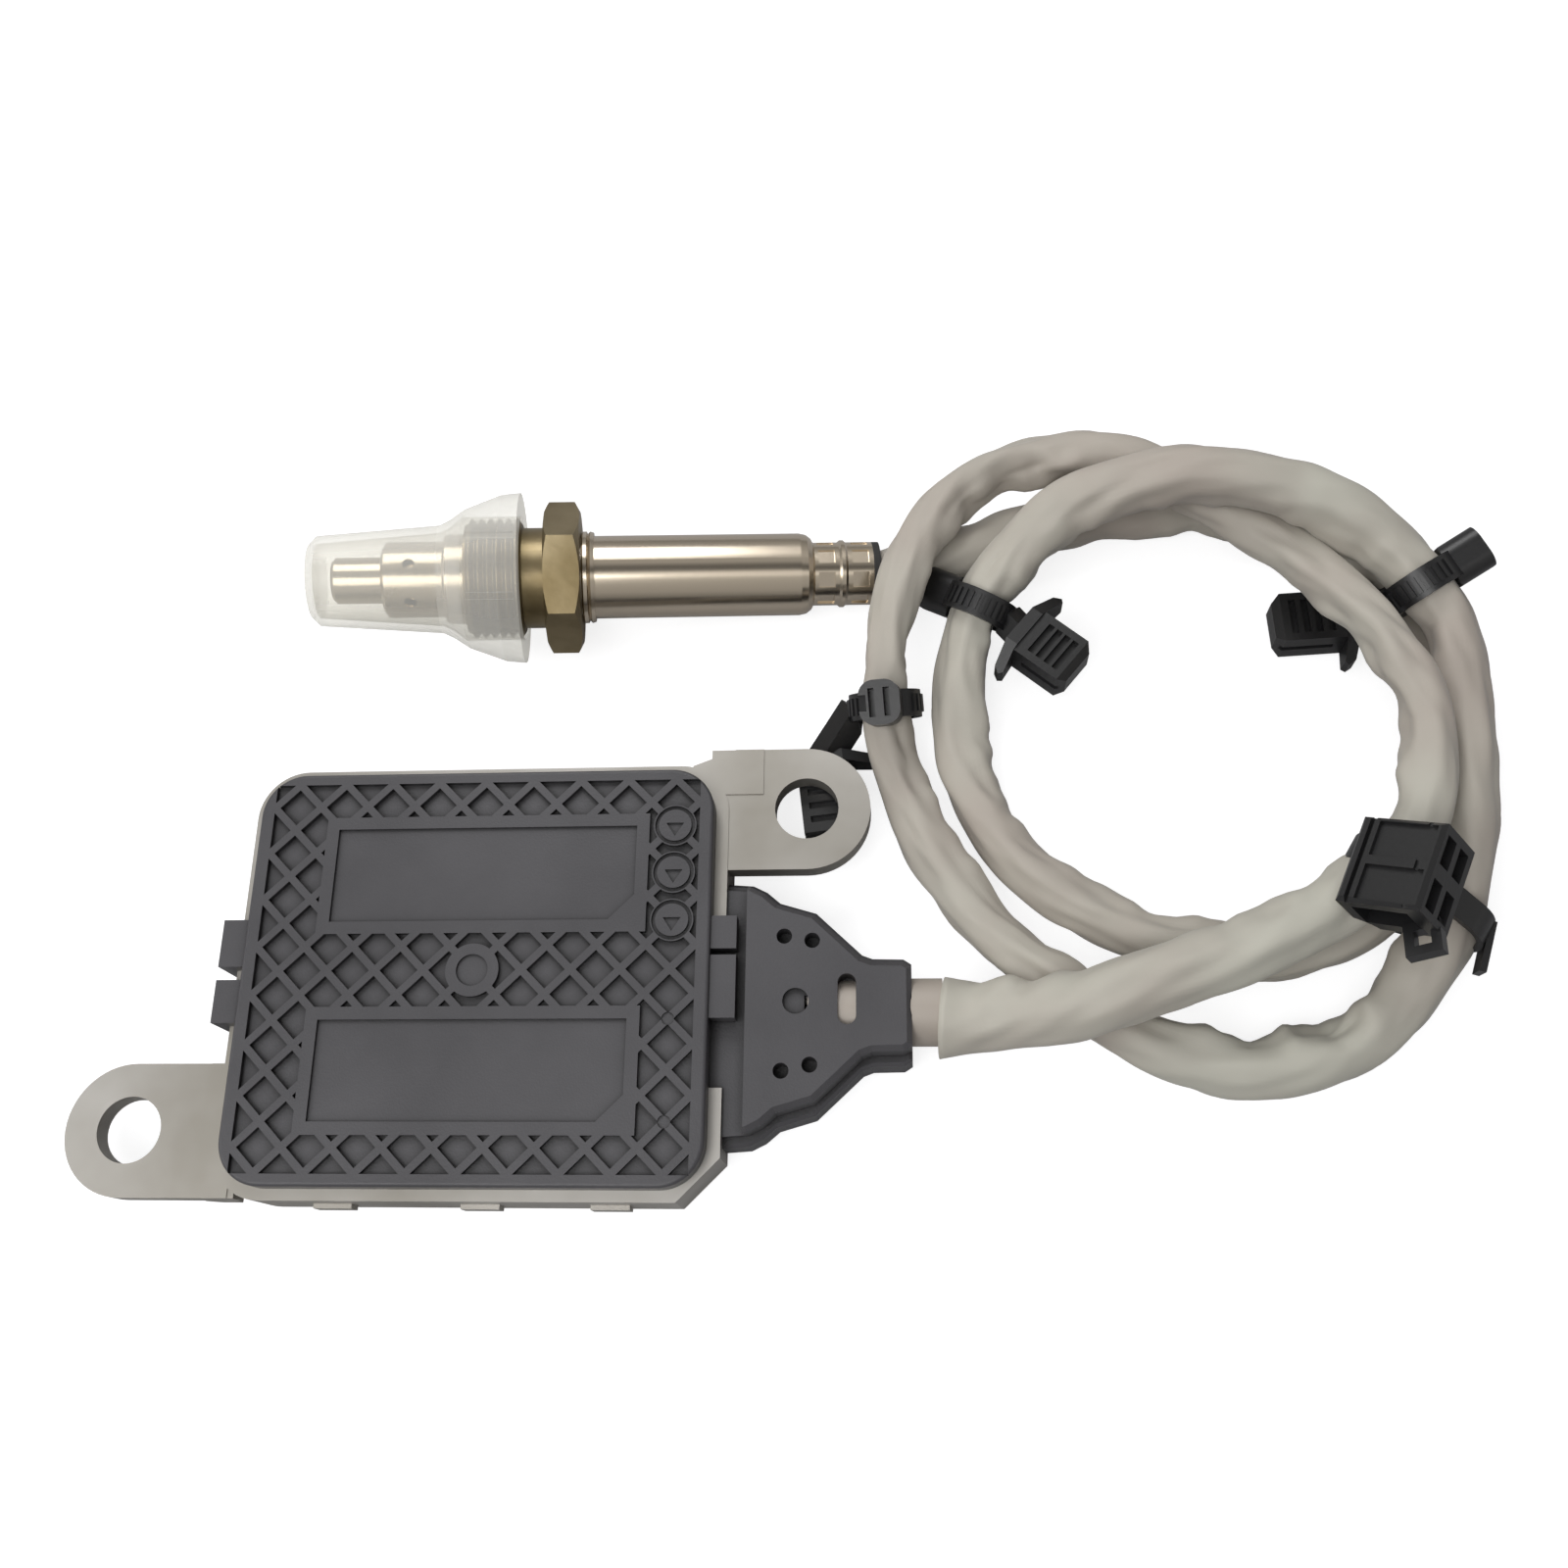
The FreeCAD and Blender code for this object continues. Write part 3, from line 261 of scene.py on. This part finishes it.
def sleeve_width(along):
    """Radius of the sleeve by distance along it, before its folds"""
    for (a, low), (b, high) in zip(SLEEVE_RADII, SLEEVE_RADII[1:]):
        if along <= b * MM:
            share = (along / MM - a) / (b - a)
            return (low + (high - low) * share) * MM
    return SLEEVE_RADII[-1][1] * MM


def around(angle, count, along):
    """Place in the noise for a direction around the sleeve and a station along it"""
    return Vector((math.cos(angle) * count, math.sin(angle) * count, along))


def sleeve_radius(along, angle, total, inner):
    """Radius of the soft sleeve: wide at the outlet, wavy, puckered inside its bends, snug at the probe"""
    flare = FLARE * math.exp(-along / FLARE_REACH)
    snug = SNUG * math.exp(-(total - along) / SNUG_REACH)
    wave = noise.noise(around(angle, WAVES_AROUND, along / WAVE_LENGTH)) * WAVE
    # The last numbers keep the four kinds of fold apart in the noise
    fold = noise.noise(around(angle + along / FOLD_TWIST, FOLDS_AROUND, along / FOLD_LENGTH + 31)) * FOLD
    pinch = noise.noise(Vector((along / PINCH_LENGTH, angle * 0.5, 7.3)))
    ripple = noise.noise(Vector((along / RIPPLE_LENGTH, angle * 0.8, 2.1)))
    pucker = (min(pinch, PINCH_TOP) * PINCH + ripple * RIPPLE) * inner
    calm = CALM_LEAST + (1 - CALM_LEAST) * min(1.0, along / CALM_REACH)
    return sleeve_width(along) + flare - snug + (wave + fold + pucker) * calm


def sleeve_faces(count):
    """Faces between the rings, and one at each end"""
    faces = []
    for n in range(count - 1):
        for k in range(RING_SIDES):
            after = (k + 1) % RING_SIDES
            faces.append((n * RING_SIDES + k, n * RING_SIDES + after,
                          (n + 1) * RING_SIDES + after, (n + 1) * RING_SIDES + k))
    faces.append(tuple(range(RING_SIDES))[::-1])
    faces.append(tuple((count - 1) * RING_SIDES + k for k in range(RING_SIDES)))
    return faces


def make_sleeve():
    """Soft sleeve with folds around the smooth line, and that line's points"""
    points, total = even_points(cable_line(), RING_STEP)
    verts = []
    side = None
    count = len(points)
    for n, point in enumerate(points):
        ahead = points[min(n + 1, count - 1)]
        behind = points[max(n - 1, 0)]
        along = (ahead - behind).normalized()
        if side is None:
            side = along.cross(Vector((0, 0, 1))).normalized()
        side = (side - along * side.dot(along)).normalized()
        up = along.cross(side)
        station = total * n / (count - 1)
        reach = min(BEND_REACH, n, count - 1 - n)
        bend = points[n + reach] + points[n - reach] - point * 2
        tight = bend.length / max(reach * RING_STEP, RING_STEP) ** 2 * TIGHT_RADIUS
        bend.normalize()
        centre = point + MOUTH_SAG * math.exp(-station / MOUTH_REACH)
        for k in range(RING_SIDES):
            angle = 2 * math.pi * k / RING_SIDES
            out = side * math.cos(angle) + up * math.sin(angle)
            inner = min(1.0, tight) * max(0.0, out.dot(bend))
            place = centre + out * sleeve_radius(station, angle, total, inner)
            place.z = max(place.z, 0.0)
            verts.append(place)
    mesh = bpy.data.meshes.new("cable_sleeve")
    mesh.from_pydata(verts, [], sleeve_faces(count))
    for polygon in mesh.polygons:
        polygon.use_smooth = len(polygon.vertices) == 4
    sleeve = bpy.data.objects.new("cable_sleeve", mesh)
    bpy.context.scene.collection.objects.link(sleeve)
    return sleeve, points


def material(name, colour, roughness, metallic=0.0):
    """Plain principled material and its nodes"""
    made = bpy.data.materials.new(name)
    made.use_nodes = True
    tree = made.node_tree
    shader = tree.nodes["Principled BSDF"]
    shader.inputs["Base Color"].default_value = linear(*colour)
    shader.inputs["Roughness"].default_value = roughness
    shader.inputs["Metallic"].default_value = metallic
    return made, tree, shader


def fill_ramp(ramp, stops):
    """Stops of a colour ramp, each a place and a colour"""
    elements = ramp.color_ramp.elements
    elements[0].position = stops[0][0]
    elements[1].position = stops[-1][0]
    for place, _ in stops[1:-1]:
        elements.new(place)
    for element, (_, colour) in zip(elements, stops):
        element.color = colour


def add_grain(tree, shader, coords, scale, strength, distance):
    """Fine bump over the whole surface"""
    texture = tree.nodes.new("ShaderNodeTexNoise")
    texture.inputs["Scale"].default_value = scale
    texture.inputs["Detail"].default_value = GRAIN_DETAIL
    bump = tree.nodes.new("ShaderNodeBump")
    bump.inputs["Strength"].default_value = strength
    bump.inputs["Distance"].default_value = distance
    tree.links.new(coords.outputs["Object"], texture.inputs["Vector"])
    tree.links.new(texture.outputs["Fac"], bump.inputs["Height"])
    tree.links.new(bump.outputs["Normal"], shader.inputs["Normal"])


def add_mottle(tree, shader, coords, scale, low, high):
    """Slow change of colour between two tones"""
    texture = tree.nodes.new("ShaderNodeTexNoise")
    texture.inputs["Scale"].default_value = scale
    texture.inputs["Detail"].default_value = MOTTLE_DETAIL
    ramp = tree.nodes.new("ShaderNodeValToRGB")
    fill_ramp(ramp, ((MOTTLE_FROM, linear(*low)), (MOTTLE_TO, linear(*high))))
    tree.links.new(coords.outputs["Object"], texture.inputs["Vector"])
    tree.links.new(texture.outputs["Fac"], ramp.inputs["Fac"])
    tree.links.new(ramp.outputs["Color"], shader.inputs["Base Color"])


def add_painted_corner_shade(tree, shader):
    """Painted shade: darker tone in corners, cells and pits, whatever the view"""
    corners = tree.nodes.new("ShaderNodeAmbientOcclusion")
    corners.samples = CORNER_SHADE_SAMPLES
    corners.inputs["Distance"].default_value = CORNER_SHADE_REACH
    tone = tree.nodes.new("ShaderNodeMapRange")
    tone.inputs["From Min"].default_value = CORNER_SHADE_OPEN
    tone.inputs["To Min"].default_value = CORNER_SHADE_DARKEST
    darken = tree.nodes.new("ShaderNodeVectorMath")
    darken.operation = "SCALE"
    colour = shader.inputs["Base Color"].links[0].from_socket
    tree.links.new(corners.outputs["AO"], tone.inputs["Value"])
    tree.links.new(colour, darken.inputs["Vector"])
    tree.links.new(tone.outputs["Result"], darken.inputs["Scale"])
    tree.links.new(darken.outputs["Vector"], shader.inputs["Base Color"])


def make_cap_material():
    """Milky plastic that shows what is under it, with a painted glow that brightens it"""
    made, tree, shader = material("milky_cap", CAP_COLOUR, CAP_ROUGHNESS)
    # Painted glow: the cap gives off a little light of its own, to look brighter
    shader.inputs["Emission Color"].default_value = linear(*CAP_PAINTED_GLOW_COLOUR)
    shader.inputs["Emission Strength"].default_value = CAP_PAINTED_GLOW
    clear = tree.nodes.new("ShaderNodeBsdfTransparent")
    clear.inputs["Color"].default_value = CAP_CLEAR
    facing = tree.nodes.new("ShaderNodeLayerWeight")
    facing.inputs["Blend"].default_value = CAP_EDGE_BLEND
    ramp = tree.nodes.new("ShaderNodeMapRange")
    ramp.inputs["To Min"].default_value = CAP_STRAIGHT
    ramp.inputs["To Max"].default_value = CAP_EDGE
    mix = tree.nodes.new("ShaderNodeMixShader")
    output = tree.nodes["Material Output"]
    tree.links.new(facing.outputs["Facing"], ramp.inputs["Value"])
    tree.links.new(ramp.outputs["Result"], mix.inputs["Fac"])
    tree.links.new(clear.outputs["BSDF"], mix.inputs[1])
    tree.links.new(shader.outputs["BSDF"], mix.inputs[2])
    tree.links.new(mix.outputs["Shader"], output.inputs["Surface"])
    return made


def make_materials():
    """All finishes by the record's slot name"""
    made = {}
    for name, (colour, roughness, metallic) in FINISHES.items():
        made[name], tree, shader = material(name, colour, roughness, metallic)
        if name in GRAIN:
            coords = tree.nodes.new("ShaderNodeTexCoord")
            add_grain(tree, shader, coords, *GRAIN[name])
            if name in MOTTLE:
                add_mottle(tree, shader, coords, *MOTTLE[name])
        # The dark plastic gets painted shade in its cells, corners and pits
        if name == "dark_plastic":
            add_painted_corner_shade(tree, shader)
        if name == "grey_sleeve":
            shader.inputs["Sheen Weight"].default_value = SLEEVE_SHEEN
    made["milky_cap"] = make_cap_material()
    return made


def dress_nodes(finishes):
    """Finish and smooth shading with sharp edges on the frame's own pieces"""
    for entry in frame["record"]["subparts"]:
        piece = nodes[entry["node"]]
        piece.data.materials.clear()
        piece.data.materials.append(finishes[entry["material_slot"]])
        for polygon in piece.data.polygons:
            polygon.use_smooth = True
        piece.data.set_sharp_from_angle(angle=SHARP_ANGLE)


def add_streaks(tree, split):
    """Light and dark strips over the scene that only reflections see, along the probe"""
    turn = tree.nodes.new("ShaderNodeMath")
    turn.operation = "ARCTAN2"
    place = tree.nodes.new("ShaderNodeMapRange")
    place.inputs["From Min"].default_value = -math.pi / 2
    place.inputs["From Max"].default_value = math.pi / 2
    ramp = tree.nodes.new("ShaderNodeValToRGB")
    red, green, blue = STREAK_TINT
    fill_ramp(ramp, [(degrees / 180 + 0.5, (level * red, level * green, level * blue, 1.0))
                     for degrees, level in STREAKS])
    glow = tree.nodes.new("ShaderNodeBackground")
    tree.links.new(split.outputs["Y"], turn.inputs[0])
    tree.links.new(split.outputs["Z"], turn.inputs[1])
    tree.links.new(turn.outputs["Value"], place.inputs["Value"])
    tree.links.new(place.outputs["Result"], ramp.inputs["Fac"])
    tree.links.new(ramp.outputs["Color"], glow.inputs["Color"])
    return glow


def make_world():
    """White to the camera, brighter above and darker at the sides for soft light, strips for reflections"""
    world = bpy.data.worlds.new("studio")
    bpy.context.scene.world = world
    world.use_nodes = True
    tree = world.node_tree
    plain = tree.nodes["Background"]
    plain.inputs["Color"].default_value = (1.0, 1.0, 1.0, 1.0)
    plain.inputs["Strength"].default_value = 1.0
    coords = tree.nodes.new("ShaderNodeTexCoord")
    split = tree.nodes.new("ShaderNodeSeparateXYZ")
    ramp = tree.nodes.new("ShaderNodeValToRGB")
    fill_ramp(ramp, SKY)
    lit = tree.nodes.new("ShaderNodeBackground")
    light_path = tree.nodes.new("ShaderNodeLightPath")
    mix = tree.nodes.new("ShaderNodeMixShader")
    streaks = add_streaks(tree, split)
    soft_or_sharp = tree.nodes.new("ShaderNodeMixShader")
    tree.links.new(coords.outputs["Generated"], split.inputs["Vector"])
    tree.links.new(split.outputs["Z"], ramp.inputs["Fac"])
    tree.links.new(ramp.outputs["Color"], lit.inputs["Color"])
    tree.links.new(light_path.outputs["Is Camera Ray"], mix.inputs["Fac"])
    tree.links.new(light_path.outputs["Is Glossy Ray"], soft_or_sharp.inputs["Fac"])
    tree.links.new(lit.outputs["Background"], soft_or_sharp.inputs[1])
    tree.links.new(streaks.outputs["Background"], soft_or_sharp.inputs[2])
    tree.links.new(soft_or_sharp.outputs["Shader"], mix.inputs[1])
    tree.links.new(plain.outputs["Background"], mix.inputs[2])
    tree.links.new(mix.outputs["Shader"], tree.nodes["World Output"].inputs["Surface"])


def make_floor():
    """Table top: white to the camera apart from the soft shadow, light grey to the light"""
    mesh = bpy.data.meshes.new("table")
    mesh.from_pydata([(-TABLE_HALF, -TABLE_HALF, TABLE_TOP), (TABLE_HALF, -TABLE_HALF, TABLE_TOP),
                      (TABLE_HALF, TABLE_HALF, TABLE_TOP), (-TABLE_HALF, TABLE_HALF, TABLE_TOP)],
                     [], [(0, 1, 2, 3)])
    table = bpy.data.objects.new("table", mesh)
    bpy.context.scene.collection.objects.link(table)
    made, tree, shader = material("table_white", TABLE_COLOUR, TABLE_ROUGHNESS)
    glow = tree.nodes.new("ShaderNodeEmission")
    glow.inputs["Strength"].default_value = FLOOR_GLOW
    seen = tree.nodes.new("ShaderNodeAddShader")
    light_path = tree.nodes.new("ShaderNodeLightPath")
    mix = tree.nodes.new("ShaderNodeMixShader")
    tree.links.new(glow.outputs["Emission"], seen.inputs[0])
    tree.links.new(shader.outputs["BSDF"], seen.inputs[1])
    tree.links.new(light_path.outputs["Is Camera Ray"], mix.inputs["Fac"])
    tree.links.new(shader.outputs["BSDF"], mix.inputs[1])
    tree.links.new(seen.outputs["Shader"], mix.inputs[2])
    tree.links.new(mix.outputs["Shader"], tree.nodes["Material Output"].inputs["Surface"])
    mesh.materials.append(made)


def make_lamp(name, place, size, power):
    """Soft square lamp that points at the object"""
    data = bpy.data.lights.new(name, "AREA")
    data.size = size
    data.energy = power
    lamp = bpy.data.objects.new(name, data)
    lamp.location = place
    lamp.rotation_euler = (Vector(LAMP_TARGET) - Vector(place)).to_track_quat("-Z", "Y").to_euler()
    bpy.context.scene.collection.objects.link(lamp)


make_camera()
make_world()
make_floor()
for lamp_values in LAMPS:
    make_lamp(*lamp_values)
finishes = make_materials()
dress_nodes(finishes)
sleeve, sleeve_line = make_sleeve()
sleeve.data.materials.append(finishes["grey_sleeve"])
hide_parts("cable")
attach(sleeve, "sensor")

bpy.context.scene.view_settings.view_transform = "Standard"
